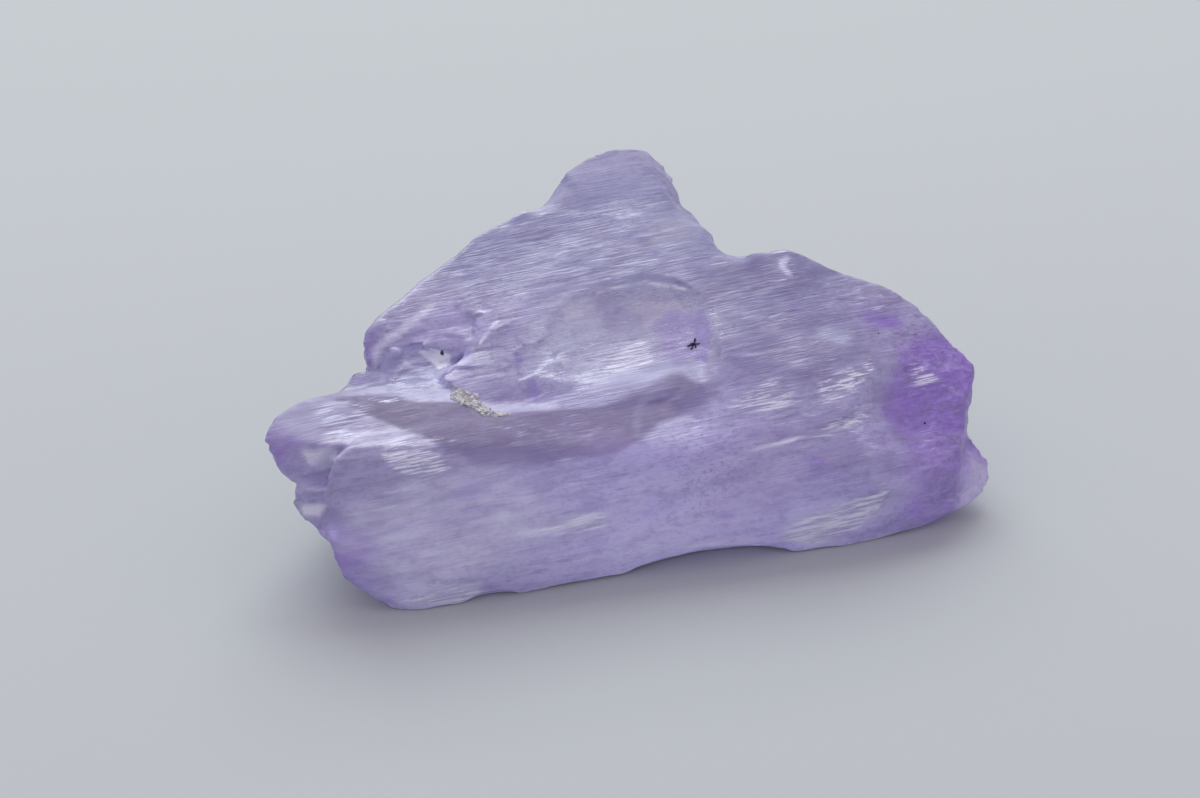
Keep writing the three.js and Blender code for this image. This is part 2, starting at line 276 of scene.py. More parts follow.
# The body colour of each point of the skin: lilac and mauve, with broad soft patches of other colours and of
# painted shade.
PALE, LILAC, MAUVE, VIOLET = (0.82, 0.90, 1.0), (0.80, 0.80, 1.0), (0.73, 0.71, 0.96), (0.54, 0.28, 1.0)
LIGHT_VIOLET, LAVENDER, AMETHYST = (0.64, 0.44, 1.0), (0.80, 0.62, 1.0), (0.56, 0.40, 0.92)
SHADED_STEEL, SHADED_LIP_STEEL, DUSK = (0.56, 0.62, 0.86), (0.60, 0.62, 0.86), (0.68, 0.62, 0.76)
SMOKE, SADDLE_SHADE, MILK = (0.42, 0.40, 0.64), (0.32, 0.32, 0.50), (0.88, 0.90, 0.98)
blotchy = grain(points, 1.0, 0.8, 14)
tint = painted(np.tile(LILAC, (len(points), 1)), MAUVE, 0.5 + 1.2 * grain(points, 5, 2.2, 9))
for colour, share in (
    # Painted shade in a bluer tone: the upper faces, where the window lights them most, are painted darker.
    (SHADED_STEEL, 0.85 * near(  # the top slope, the crest of the right block and the upper left slope
        ragged, ((2.0, 3.0, 13.2), (11.0, 6.0, 3.4)), ((8.0, -2.2, 11.3), (7.0, 3.8, 2.6)),
        ((-5.5, 3.5, 12.3), (3.6, 2.6, 2.0)), fade=0.6,
    )),
    (DUSK, 0.6 * near(ragged, ((5.0, -9.0, 4.5), (5.5, 2.4, 3.2)), fade=0.6)),  # the front, right
    (SMOKE, 0.88 * near(  # the right block and its crest
        ragged, ((9.0, -5.0, 9.6), (5.5, 4.5, 3.2)), ((8.6, -1.6, 11.6), (4.6, 3.0, 2.2)), fade=0.6,
    )),
    # Painted shade on the saddle, which faces up into the window's light.
    (SADDLE_SHADE, 0.5 * near(ragged, ((6.8, -0.5, 12.1), (1.8, 2.0, 1.0)), fade=0.8)),  # the saddle
    (MILK, (0.7 + 0.6 * grain(points, 3.0, 1.2, 17)) * front),
    (PALE, 0.9 * near(ragged, CHIP, fade=0.4)),
    (PALE, 0.8 * near(ragged, ((-9.0, -0.8, 9.2), (4.6, 2.2, 1.6)), fade=0.5)),  # the foot of the steps
    # Painted shade over the lip of the chip, which the window lights.
    (SHADED_LIP_STEEL, 0.6 * near(ragged, ((0.8, -4.0, 8.5), (4.6, 0.9, 0.9)), fade=0.6)),  # the lip of the chip
    (VIOLET, (0.95 + 0.4 * blotchy) * near(  # the right end, front and back
        ragged, ((16.8, -6.6, 5.4), (4.9, 5.2, 4.6)), ((17.5, -2.0, 3.0), (3.5, 8.0, 6.0)),
        ((14.8, 4.8, 4.4), (3.4, 5.0, 4.6)), fade=0.36,
    )),
    (LIGHT_VIOLET, (0.8 + 0.5 * grain(points, 0.8, 0.7, 18)) * near(  # below it, to the front
        ragged, ((14.8, -9.2, 2.8), (3.0, 2.2, 3.4)), fade=0.4,
    )),
    (LAVENDER, 0.7 * near(ragged, ((17.4, -8.6, 1.8), (2.4, 2.2, 2.0)), fade=0.8)),  # the right toe
    (VIOLET, (0.6 + 0.5 * blotchy) * near(  # the left end, low and high
        ragged, ((-16.0, -7.6, 2.6), (2.8, 2.6, 3.8)), ((-18.6, -4.4, 7.6), (1.9, 3.0, 2.4)), fade=0.8,
    )),
    (AMETHYST, 0.6 * near(  # blots on the shoulder, the front edge and the end of the thin plate
        ragged, ((14.0, -3.6, 9.5), (1.9, 1.6, 1.2)), ((-9.5, -7.8, 5.9), (1.4, 1.2, 0.8)),
        ((-11.9, 0.8, 9.7), (0.9, 1.6, 1.4)), fade=0.7,
    )),
):
    tint = painted(tint, colour, share)

# Painted shade: the shelf is painted dark and kept dull along the foot of the mass above it, up to a sharp
# edge, most where it faces up.
PAINTED_SHADE = (0.17, 0.12, 0.22)
SHADE_BAND = (
    (-15.0, -2.4, 9.1), (-13.1, -2.1, 8.9), (-11.8, -2.2, 8.8), (-10.5, -3.2, 8.6), (-8.3, -3.6, 8.4),
    (-6.8, -4.8, 8.1), (-4.3, -5.2, 8.1), (-1.7, -5.2, 7.9), (-0.3, -5.0, 8.0), (1.2, -4.6, 8.2),
    (2.5, -4.2, 8.5), (4.4, -6.3, 8.2), (1.0, -6.8, 7.2), (-0.4, -7.7, 7.1), (-1.9, -8.1, 7.0),
    (-4.7, -8.0, 6.7), (-8.7, -7.6, 6.8), (-11.0, -6.5, 8.2), (-12.6, -4.6, 8.4),
)
shade_band = flat(SHADE_BAND, 0.3) * np.clip(0.25 + 0.75 * normals[:, 2], 0, 1)
# Painted shade on the shelf.
tint = painted(tint, PAINTED_SHADE, 0.9 * shade_band)
dull = np.maximum(0.8 * tooth, 0.8 * near(  # the saddle, the left lobe and the lip have little gloss too
    points, ((4.6, 2.2, 13.0), (3.0, 2.6, 1.6)), ((6.8, 0.4, 12.4), (3.2, 3.4, 1.8)),
    ((-16.0, -3.4, 9.0), (4.0, 2.4, 1.2)), ((1.4, -4.1, 8.4), (4.4, 1.2, 0.8)),
))
dull = np.maximum(dull, 0.9 * shade_band)

# Flat patches with clean outlines: faces of the snapped steps, reflections inside the chip, the ends of
# plates and flaws under the skin. Each has its corners, its colour, how much of it shows, how milky it is
# and how wide its outline fades in mm. One that isn't milky at all is dull.
STRIPES = (
    (-0.4, -2.7, 9.0), (0.6, -2.2, 9.4), (1.5, -2.0, 9.5), (1.9, -2.3, 9.4), (1.6, -3.3, 8.7),
    (0.3, -3.7, 8.5), (-0.7, -3.2, 8.7),
)
# Two bright flaws low in the front, painted with the highlights that their cleavage planes throw back.
FOOT_FLAW_HIGHLIGHT = ((-13.6, -8.4, 0.7), (-11.3, -9.0, 1.3), (-9.2, -9.1, 1.1), (-9.2, -8.6, 0.0), (-11.8, -8.9, 0.2))
BEVEL_FLAW_HIGHLIGHT = (
    (6.5, -9.6, 1.0), (7.5, -9.8, 2.1), (9.6, -10.0, 2.7), (11.9, -10.1, 3.2), (11.7, -10.0, 2.3),
    (10.2, -9.8, 0.7), (8.6, -9.7, 0.3),
)
SMALL_VIOLET = (0.44, 0.30, 0.82)
veil = np.zeros(len(points))
for corners, colour, shown, milk, blur in (
    (  # the violet step
        ((-9.8, 1.0, 10.2), (-8.8, 1.7, 10.9), (-7.5, 2.0, 11.2), (-6.7, 0.8, 10.6), (-5.6, -0.1, 10.7),
         (-5.9, -0.5, 10.4), (-7.2, -0.8, 9.9), (-8.5, 0.0, 9.8), (-9.8, 0.6, 9.9)),
        (0.70, 0.63, 1.0), 0.9, 0.4, 0.15,
    ),
    (  # the clear step
        ((-11.5, 0.7, 9.5), (-9.8, 0.6, 9.9), (-9.1, 0.4, 9.3), (-9.3, -0.4, 8.9), (-9.0, -0.8, 8.8),
         (-8.7, -2.1, 9.0), (-10.1, -1.6, 8.7), (-11.0, -1.1, 8.8), (-11.4, 0.0, 8.8)),
        (0.64, 0.70, 1.0), 0.9, 0.28, 0.15,
    ),
    (  # the foot of the clear step
        ((-11.0, -1.2, 8.8), (-8.8, -2.2, 8.9), (-8.2, -2.7, 8.8), (-8.1, -3.6, 8.4), (-10.0, -3.2, 8.6),
         (-11.3, -2.5, 8.7)),
        (0.66, 0.68, 1.0), 0.9, 0.2, 0.15,
    ),
    # Painted light: the bright window, where light comes through the clear step.
    (  # the bright window in it
        ((-9.6, 0.5, 9.4), (-8.9, 0.0, 9.7), (-8.0, -0.4, 9.5), (-8.5, -0.8, 9.0), (-8.9, -0.8, 8.8)),
        (0.92, 0.94, 1.0), 0.95, 0.88, 0.12,
    ),
    (  # the frosted edge of the thin plate
        ((-11.9, 0.9, 9.6), (-10.2, 1.5, 10.6), (-8.3, 2.2, 11.2), (-8.2, 1.8, 11.1), (-9.9, 1.0, 10.3),
         (-11.3, 0.7, 9.6), (-11.8, 0.4, 8.8)),
        (0.84, 0.87, 1.0), 0.85, 0.7, 0.3,
    ),
    (  # the violet wedge beside the window
        ((-9.1, -1.4, 9.1), (-8.0, -0.4, 9.5), (-7.2, -0.8, 9.8), (-7.0, -1.6, 9.5), (-7.7, -2.5, 9.0),
         (-8.5, -2.4, 8.9)),
        (0.56, 0.50, 0.90), 0.85, 0.15, 0.15,
    ),
    (  # the clear tongue behind the shelf
        ((-14.3, -2.2, 9.0), (-13.2, -0.1, 8.6), (-12.0, 0.5, 8.8), (-11.4, 0.0, 8.8), (-11.2, -1.5, 8.8),
         (-11.4, -2.6, 8.7), (-12.9, -2.3, 8.9)),
        (0.68, 0.70, 1.0), 0.9, 0.15, 0.2,
    ),
    (  # two small violet faces at the foot of the slope
        ((-5.3, -1.8, 9.8), (-5.0, -2.0, 9.8), (-4.8, -2.4, 9.6), (-5.2, -2.7, 9.4)),
        SMALL_VIOLET, 0.85, 0.05, 0.15,
    ),
    (
        ((-4.9, -3.3, 9.1), (-4.4, -3.5, 9.0), (-4.4, -4.0, 8.5), (-4.9, -4.3, 8.2), (-5.0, -3.8, 8.5)),
        SMALL_VIOLET, 0.85, 0.05, 0.15,
    ),
    (  # the chip: a pale bloom under its rim
        ((-2.2, -0.3, 11.2), (-1.1, -0.1, 11.4), (0.0, -0.1, 11.4), (-0.2, -0.5, 10.7), (-1.3, -0.8, 10.4),
         (-2.3, -1.0, 10.4)),
        (0.92, 0.96, 1.0), 0.9, 0.5, 0.4,
    ),
    (  # the chip: a warm, almost colourless patch
        ((1.6, -0.5, 10.8), (3.0, -0.7, 11.0), (4.3, -1.7, 10.8), (4.0, -2.3, 10.1), (2.6, -1.9, 9.8),
         (1.4, -1.3, 9.9)),
        (0.88, 0.84, 0.86), 0.9, 0.45, 0.5,
    ),
    (  # the chip: the violet lobe at its right end
        ((2.4, -1.6, 9.9), (3.3, -1.3, 10.5), (4.3, -2.0, 10.6), (4.5, -3.0, 10.0), (4.1, -3.8, 9.3),
         (3.0, -3.9, 8.7), (2.3, -2.9, 9.1)),
        (0.66, 0.53, 1.0), 0.9, 0.25, 0.4,
    ),
    (STRIPES, (0.92, 0.92, 1.0), 0.9, 0.65, 0.4),  # the chip: its bright, striped patch
    (  # the chip: a dim patch
        ((0.0, -0.8, 10.4), (0.9, -0.6, 10.6), (1.9, -0.9, 10.4), (2.0, -1.3, 10.0), (1.1, -1.6, 9.7),
         (0.0, -1.4, 9.9)),
        (0.46, 0.42, 0.62), 0.6, 0.1, 0.3,
    ),
    (  # the dark round spot below the lip of the chip
        ((2.5, -5.8, 7.9), (3.3, -5.8, 8.3), (3.9, -6.4, 8.0), (3.6, -6.8, 7.5), (2.9, -6.8, 7.2),
         (2.4, -6.3, 7.4)),
        (0.42, 0.38, 0.56), 0.7, 0.1, 0.3,
    ),
    # Painted light coming through the clear patch on the left lobe.
    (  # the clear patch on the left lobe
        ((-17.2, -5.0, 8.0), (-15.5, -5.6, 8.2), (-15.8, -6.7, 8.0), (-16.9, -5.5, 7.2)),
        (0.90, 0.91, 0.92), 0.9, 0.65, 0.3,
    ),
    # The bright flaw at the left end is painted as light that comes through it.
    (  # the bright flaw at the left end
        ((-17.6, -6.2, 5.7), (-16.6, -7.1, 5.9), (-16.7, -6.8, 5.1), (-17.5, -6.4, 5.1)),
        (0.92, 0.93, 0.90), 0.9, 0.8, 0.3,
    ),
    (  # the violet wall at the right of the chip
        ((4.9, -2.1, 11.0), (4.9, -3.4, 10.0), (4.2, -4.6, 9.0), (3.7, -4.3, 8.8), (4.1, -3.4, 9.4),
         (4.2, -2.3, 10.4)),
        (0.56, 0.42, 0.96), 0.8, 0.2, 0.3,
    ),
    (  # the grey mass behind that wall
        ((5.0, -1.6, 11.5), (6.0, -1.8, 11.4), (6.0, -4.2, 10.0), (4.6, -4.9, 9.3), (5.0, -3.4, 10.4)),
        (0.46, 0.44, 0.60), 0.5, 0.1, 0.8,
    ),
    (FOOT_FLAW_HIGHLIGHT, (0.84, 0.89, 1.0), 0.8, 0.6, 0.5),  # low at the left of the front
    (BEVEL_FLAW_HIGHLIGHT, (0.90, 0.93, 1.0), 0.9, 0.35, 0.5),  # low at the right of the front
    # Painted light: a pale band where light comes through the bottom edge over the arch.
    (  # the pale edge over the arch in the front
        ((-3.0, -9.2, 0.4), (-0.9, -9.4, 1.3), (2.3, -9.4, 1.3), (5.4, -9.6, 1.0), (5.4, -9.5, 1.5),
         (2.0, -9.4, 2.0), (-1.2, -9.3, 2.0), (-3.6, -9.2, 1.2)),
        (0.90, 0.92, 1.0), 0.7, 0.4, 0.4,
    ),
    (  # the deep violet blot on the shoulder
        ((13.1, -3.6, 9.9), (15.0, -3.8, 9.3), (14.7, -4.4, 9.0), (13.1, -4.3, 9.5)),
        (0.50, 0.26, 0.96), 0.8, 0.0, 0.5,
    ),
    (  # the violet blot at the right of the front
        ((7.9, -9.4, 5.5), (9.2, -9.6, 5.5), (9.3, -9.8, 4.7), (8.1, -9.7, 4.6)),
        (0.52, 0.34, 0.92), 0.6, 0.1, 0.6,
    ),
    (  # the dark gap between two silky bunches
        ((8.5, -8.9, 7.0), (10.9, -8.3, 7.1), (10.7, -9.0, 6.7), (8.6, -9.1, 6.6)),
        (0.30, 0.26, 0.42), 0.7, 0.05, 0.3,
    ),
):
    share = shown * flat(corners, blur)
    tint = painted(tint, colour, share)
    veil += (milk - veil) * share
    if not milk:
        dull = np.maximum(dull, share)

# Small spots, and painted shade: a darker violet in the bottoms of the creases.
PINK_SPOTS = (
    ((9.1, -9.6, 5.2), (0.7, 0.4, 0.55)), ((11.5, -9.7, 5.3), (0.4, 0.4, 0.7)),
    ((5.1, -2.7, 11.0), (0.4, 0.5, 0.5)), ((4.7, -4.8, 9.5), (0.7, 0.6, 0.5)),
)
BLUE_SPOT = ((11.1, -5.0, 9.5), (1.6, 1.0, 0.9))
PINK, PALE_BLUE, ASH = (0.98, 0.86, 0.90), (0.70, 0.80, 1.0), (0.80, 0.80, 0.78)
DARK_MAUVE, DARK_VIOLET = (0.45, 0.36, 0.56), (0.40, 0.28, 0.66)
FINE_VIOLET, CREASE_SHADE = (0.50, 0.36, 0.70), (0.45, 0.36, 0.66)
for colour, share in (
    (DARK_MAUVE, 0.5 * near(  # on the front edge of the shelf
        ragged, ((-2.2, -7.5, 7.1), (1.8, 0.9, 0.7)), fade=0.4,
    )),
    (DARK_VIOLET, 0.65 * near(  # over the right half
        ragged, ((9.5, -3.6, 10.7), (0.9, 0.5, 0.35)), ((9.4, -5.1, 9.9), (1.1, 0.4, 0.25)),
        ((11.0, -10.0, 4.2), (0.35, 0.3, 0.5)), ((13.3, -7.1, 6.6), (0.5, 0.5, 0.4)),
        ((14.5, -6.3, 7.5), (0.35, 0.4, 0.9)), ((3.7, -9.5, 3.0), (0.6, 0.4, 0.3)),
        ((14.8, -9.7, 1.7), (0.25, 0.2, 0.3)), fade=0.7,
    )),
    (PINK, 0.6 * near(ragged, *PINK_SPOTS, fade=0.8)),
    (PALE_BLUE, 0.6 * near(ragged, BLUE_SPOT, fade=0.8)),
    (ASH, 0.5 * near(ragged, ((4.4, 1.9, 13.1), (2.4, 1.9, 1.3)), fade=0.9)),  # the slope by the saddle
    (FINE_VIOLET, 0.5 * drawn(  # two fine lines, in the clear step and low at the left of the front
        0.16, ((-10.0, -0.6, 8.8), (-10.6, -2.0, 8.7)), ((-9.0, -9.1, 1.3), (-8.4, -9.1, 0.4)),
    )),
    # Painted shade in the creases.
    (CREASE_SHADE, np.clip(-0.9 * bulge - 0.1, 0, 0.5) * (1 - 0.9 * snapped)),
):
    tint = painted(tint, colour, share)

# Silky bunches: bright cleavage flaws that lie just under the skin, along the growth lines. The two low flaws
# and the chip's stripes are partly painted highlights and reflections.
silk = near(  # the middle of the front edge, the low front and the glints in the right end
    ragged, ((6.6, -7.2, 7.9), (2.6, 1.8, 1.3)), ((1.8, -9.4, 2.8), (1.2, 0.6, 0.25)),
    ((15.6, -6.4, 7.3), (1.4, 1.1, 0.9)), fade=0.7,
)
for corners, strength in (
    (  # the upper fan of the right block
        ((9.2, -7.5, 8.4), (12.5, -6.1, 8.5), (12.3, -6.8, 7.9), (9.8, -8.3, 7.8), (9.2, -8.1, 7.9)),
        1.3,
    ),
    (((9.1, -8.8, 7.1), (11.8, -7.7, 6.9), (11.7, -8.5, 6.2), (9.2, -9.1, 6.6)), 0.8),  # its lower fan
    (  # the left of the shelf's front edge
        ((-13.8, -6.5, 8.3), (-12.4, -6.1, 8.4), (-10.6, -7.0, 7.8), (-10.2, -7.5, 7.0),
         (-11.3, -7.5, 6.5), (-13.0, -7.1, 7.3)),
        1.15,
    ),
    (  # the lens-shaped flaw in the front
        ((-6.8, -8.8, 3.6), (-4.9, -8.8, 4.1), (-2.6, -9.0, 4.0), (-2.8, -9.1, 3.4), (-5.0, -9.0, 3.3)),
        1.3,
    ),
    (FOOT_FLAW_HIGHLIGHT, 1.1),
    (BEVEL_FLAW_HIGHLIGHT, 1.3),
    (STRIPES, 1.2),
):
    silk = np.maximum(silk, strength * flat(corners, 0.5))
for strength, place in (
    (0.3, ((1.2, 2.1, 13.0), (6.4, 3.4, 2.4))),  # the top slope
    (0.65, ((-15.0, -3.9, 8.8), (2.6, 2.4, 1.0))),  # the left lobe
):
    silk = np.maximum(silk, strength * near(ragged, place, fade=0.7))

# A thin milky veil in places, from very small flaws.
GROOVE = ((-9.0, -1.2, 8.8), (-8.5, -0.9, 9.1), (-7.9, -0.7, 9.6))
GROOVE_COLOUR = (0.74, 0.70, 1.0)
groove = np.maximum(drawn(0.45, GROOVE), near(points, ((-8.0, -0.9, 9.3), (0.9, 0.9, 1.0))))
tint = painted(tint, GROOVE_COLOUR, 0.8 * groove)
for share in (
    (0.46 + 0.3 * grain(points, 1.8, 0.3, 21)) * near(  # the left of the front
        ragged, ((-11.0, -8.4, 4.6), (8.0, 3.0, 4.2)), fade=0.5,
    ),
    0.48 * near(ragged, ((9.1, -9.9, 1.8), (4.6, 1.6, 1.8)), fade=0.6),  # the bevel
    0.55 * near(  # the right toe and the left foot
        ragged, ((17.4, -8.6, 1.8), (2.8, 2.4, 2.4)), ((-12.4, -8.9, 1.0), (3.2, 1.6, 1.8)), fade=0.8,
    ),
    0.3 * near(ragged, CHIP, fade=0.4),
    0.75 * near(  # the lens-shaped flaw and its tail
        points, ((-4.0, -9.0, 3.8), (2.2, 1.2, 0.6)), ((-6.0, -8.9, 3.5), (2.6, 1.2, 0.42)), fade=0.8,
    ),
    0.45 * near(ragged, ((-12.0, -6.9, 7.6), (2.2, 1.2, 1.0)), fade=0.8),  # the shelf's front edge, left
    0.3 * near(ragged, *PINK_SPOTS, BLUE_SPOT, fade=0.8),
    0.42 * near(ragged, ((13.0, -9.9, 2.6), (2.2, 1.4, 2.2)), fade=0.8),  # beside the bevel
    0.55 * groove,
):
    veil = np.maximum(veil, share)

# Frosted spots, faint scratches and bruised small edges, with painted glints and lines of painted light.
RIM_LINE = ((-0.1, -0.2, 11.5), (1.1, -0.1, 11.6), (2.4, -0.3, 11.7), (3.3, -0.6, 11.6), (4.2, -1.2, 11.5))
# Painted glints on the top edges of the violet step, painted light along the bottom edge over the arch, and a
# long pale line along the front of the right block.
GLINTS_AND_PALE_LINES = (
    ((5.0, -8.9, 6.1), (10.8, -8.9, 6.7)),
    ((5.4, -8.9, 6.2), (8.0, -9.0, 6.4), (10.8, -8.9, 6.7)),
    ((-3.5, -9.3, 1.7), (-0.9, -9.4, 1.6), (1.7, -9.5, 1.4), (3.8, -9.5, 1.3)),
    ((-6.4, 0.9, 10.9), (-5.7, 0.5, 11.0)),
    ((-5.5, -0.1, 10.7), (-6.6, -0.7, 10.0)),
)
FAINT_SCRATCHES = (
    ((1.5, -4.9, 8.3), (0.5, -5.2, 7.7), (-0.1, -6.3, 7.4), (-0.4, -7.3, 7.2)),
    ((3.8, -6.0, 8.3), (3.9, -6.9, 7.5), (4.0, -7.8, 6.7)),
    ((11.3, -10.0, 4.0), (12.1, -10.1, 3.4), (12.9, -9.9, 2.7)),
)
# Frosted spots, and a painted glint low on the right end.
frost_and_glints = near(
    ragged, ((9.6, -1.6, 11.9), (0.6, 0.9, 0.9)), ((12.2, -3.3, 10.3), (0.3, 0.25, 0.2)),
    ((-6.4, 3.0, 12.1), (0.4, 0.3, 0.3)), ((-9.5, -8.3, 4.6), (0.25, 0.25, 0.25)),
    ((-10.8, -8.3, 4.1), (0.25, 0.25, 0.25)), ((15.6, -9.5, 1.3), (0.35, 0.25, 0.25)), fade=0.5,
) * 0.7
sharp = (0.35 + 0.65 * broken) * (1 - 0.8 * near(points, ((4.6, -2.8, 10.4), (2.0, 3.0, 3.0))))
for share in (
    drawn(0.12, RIM_LINE) * np.clip(1.0 + 0.8 * grain(points, 0.8, 0.4, 19), 0.4, 1.1),
    drawn(0.16, *GLINTS_AND_PALE_LINES) * np.clip(0.7 + 0.9 * grain(points, 0.9, 0.3, 15), 0.2, 0.95),
    0.3 * drawn(0.35, *FAINT_SCRATCHES),
    veil,
    np.clip(1.3 * bulge - 0.25, 0, 0.5) * sharp,
):
    frost_and_glints = np.maximum(frost_and_glints, share)
frost_and_glints = np.clip(frost_and_glints, 0, 1)

# Where the inside shows clean, and how much of the growth lines shows.
CLEAR_STEP, CLEAR_LOBE = ((-9.5, -0.8, 9.0), (2.6, 1.7, 1.2)), ((-16.3, -5.6, 7.7), (1.4, 1.0, 0.8))
clear = near(ragged, CHIP, CLEAR_STEP, CLEAR_LOBE, fade=0.4)
lined = (1 - 0.3 * near(ragged, CHIP)) * (1 - 0.85 * tooth) * (1 - 0.6 * snapped) * (1 - 0.8 * right_end)
lined = lined * np.clip(0.7 + 0.9 * grain(points, 7, 3.5, 10), 0.1, 1)

MOST_SILK = 1.3
for name, columns in (
    ("tint", (tint, dull)), ("nature", (np.clip(silk, 0, MOST_SILK), clear, lined, frost_and_glints)),
):
    layer = mesh.color_attributes.new(name, "FLOAT_COLOR", "POINT")
    layer.data.foreach_set("color", np.column_stack(columns).ravel())
mesh.transform(Matrix.Scale(MM, 4))
mesh = modified(mesh, "DECIMATE", ratio=KEPT)
mesh.shade_smooth()
crystal = bpy.data.objects.new("crystal", mesh)
bpy.context.collection.objects.link(crystal)


class Shader:
    """Builds a material's node tree, in millimetres and along the growth lines."""

    APART = 17.3  # noises with different seeds are cut from places this far apart

    def __init__(self, name):
        self.material = bpy.data.materials.new(name)
        self.material.use_nodes = True
        self.tree = self.material.node_tree
        self.tree.nodes.clear()
        self.out = self.tree.nodes.new("ShaderNodeOutputMaterial")
        spot = self.node("ShaderNodeTexCoord").outputs["Object"]
        self.mm = self.node(
            "ShaderNodeVectorMath", {0: spot, 1: (1 / MM,) * 3}, operation="MULTIPLY",
        ).outputs[0]
        self.spot = self.mm
        for axis, angle in (((0, 1, 0), LEAN), ((1, 0, 0), DIP)):
            self.spot = self.node("ShaderNodeVectorRotate", {
                "Vector": self.spot, "Axis": axis, "Angle": angle,
            }, rotation_type="AXIS_ANGLE").outputs[0]

    def fill(self, socket, value):
        """Links another node's output to this input, or sets it to a plain value."""
        if isinstance(value, bpy.types.NodeSocket):
            self.tree.links.new(value, socket)
        else:
            socket.default_value = value

    def node(self, kind, sockets=None, **settings):
        """A new node with these inputs and settings."""
        made = self.tree.nodes.new(kind)
        for name, value in settings.items():
            setattr(made, name, value)
        for name, value in (sockets or {}).items():
            self.fill(made.inputs[name], value)
        return made

    def maths(self, kind, a, b=0.0, c=0.0):
        """Two or three values worked together."""
        return self.node("ShaderNodeMath", {0: a, 1: b, 2: c}, operation=kind).outputs[0]

    def times(self, *shares):
        """Several shares multiplied."""
        product = shares[0]
        for share in shares[1:]:
            product = self.maths("MULTIPLY", product, share)
        return product

    def ramp(self, value, low, high, bottom=0.0, top=1.0):
        """A smooth step from one value to another as this one goes from low to high."""
        return self.node("ShaderNodeMapRange", {
            "Value": value, "From Min": low, "From Max": high, "To Min": bottom, "To Max": top,
        }, interpolation_type="SMOOTHSTEP").outputs[0]

    def noise(self, along, across, seed=0.0, detail=2.0, rough=0.5, sheet=1):
        """Noise from about 0 to 1, drawn out to these lengths in mm."""
        scaled = self.node("ShaderNodeVectorMath", {
            0: self.spot, 1: (1 / along, 1 / across / sheet, 1 / across), 2: (0, 0, seed * self.APART),
        }, operation="MULTIPLY_ADD").outputs[0]
        return self.node("ShaderNodeTexNoise", {
            "Vector": scaled, "Scale": 1.0, "Detail": detail, "Roughness": rough,
        }).outputs["Fac"]

    def over(self, colour, top, share):
        """A colour with another one laid over this share of it."""
        mix = self.node("ShaderNodeMix", data_type="RGBA")
        for number, value in ((0, share), (6, colour), (7, top)):
            self.fill(mix.inputs[number], value)
        return mix.outputs[2]

    def painted(self, name):
        """What each point of the skin was given: a colour, its three channels and a fourth number."""
        layer = self.node("ShaderNodeAttribute", attribute_name=name)
        parts = self.node("ShaderNodeSeparateColor", {"Color": layer.outputs["Color"]})
        return layer.outputs["Color"], *parts.outputs, layer.outputs["Alpha"]


# Kunzite: see-through lilac, with dark and pale growth lines, grit and clouds in its skin, threads of silk
# and painted glints. What is milky lets little light through, and so do the silk, the dull places and the
# very foot.
DARK_LINE, DARK_MOTTLE, DARK_GRIT = (0.30, 0.26, 0.42, 1), (0.34, 0.28, 0.50, 1), (0.28, 0.22, 0.42, 1)
DARK_CLOUD, SILK_GAP = (0.36, 0.30, 0.52, 1), (0.26, 0.22, 0.38, 1)
MILKY, WHITE = (0.74, 0.79, 1.0, 1), (0.85, 0.91, 1.0, 1)
DEEP_LILAC, THICKNESS = (0.56, 0.40, 0.92, 1), 34  # what the light takes on inside, and how fast
SPODUMENE_IOR, SKIN_IOR = 1.66, 1.5
GLOSSY, SATIN = 0.36, 0.50  # roughness, from fibre to fibre
POLISHED, DULLED = 0.6, 1.6  # how many times as rough it is where it is clear, and where it is dull
COAT, COAT_ROUGHNESS = 0.5, 0.14
LINE_STRENGTH, FIBRE_DEPTH, THREAD_DEPTH = 0.8, 0.05 * MM, 0.03 * MM  # of the finest growth lines
CLEAN_THROUGH, MILKY_THROUGH, SILK_THROUGH, DULL_THROUGH, FOOT_THROUGH = 0.68, 0.05, 0.4, 0.45, 0.15
kunzite = Shader("kunzite")
colour, _, _, _, dull = kunzite.painted("tint")
_, silk, clear, lined, frost_and_glints = kunzite.painted("nature")
bands = kunzite.noise(6, 0.45, 2, 3, 0.6, SHEET)
fibres = kunzite.noise(2.6, 0.17, 3, 3, 0.6, SHEET)
threads = kunzite.noise(1.1, 0.07, 4, 2, 0.6, SHEET)
strands = kunzite.ramp(kunzite.noise(2.2, 0.09, 5, 4, 0.7, SHEET), 0.46, 0.59)
mottle = kunzite.noise(0.8, 0.45, 6, 4, 0.65)
clouds = kunzite.noise(2.4, 0.9, 8, 3, 0.6)
grit = kunzite.noise(0.30, 0.20, 9, 3, 0.7)
gritty = kunzite.times(kunzite.ramp(lined, 0, 0.6, 1.0, 0.45), kunzite.ramp(dull, 0.2, 0.6, 1.0, 0.3))
mottled = kunzite.ramp(dull, 0.2, 0.6, 0.40, 0.25)
bunches = kunzite.ramp(kunzite.noise(5, 1.3, 7, 2, 0.5), 0.44, 0.60)
dark_lines = kunzite.maths(
    "ADD", kunzite.times(kunzite.ramp(bands, 0.50, 0.36), 0.5),
    kunzite.maths(
        "ADD", kunzite.times(kunzite.ramp(fibres, 0.47, 0.34), 0.6),
        kunzite.times(kunzite.ramp(threads, 0.44, 0.30), 0.65),
    ),
)
for top, share in (
    (DARK_LINE, kunzite.times(dark_lines, lined, 0.48)),
    (DARK_MOTTLE, kunzite.times(kunzite.ramp(mottle, 0.50, 0.32), mottled)),
    (DARK_GRIT, kunzite.times(kunzite.ramp(grit, 0.50, 0.34), gritty, 0.6)),
    (DARK_CLOUD, kunzite.times(kunzite.ramp(clouds, 0.50, 0.34), 0.40)),
    (SILK_GAP, kunzite.times(silk, kunzite.ramp(strands, 0.7, 0.1), 0.45)),
):
    colour = kunzite.over(colour, top, share)
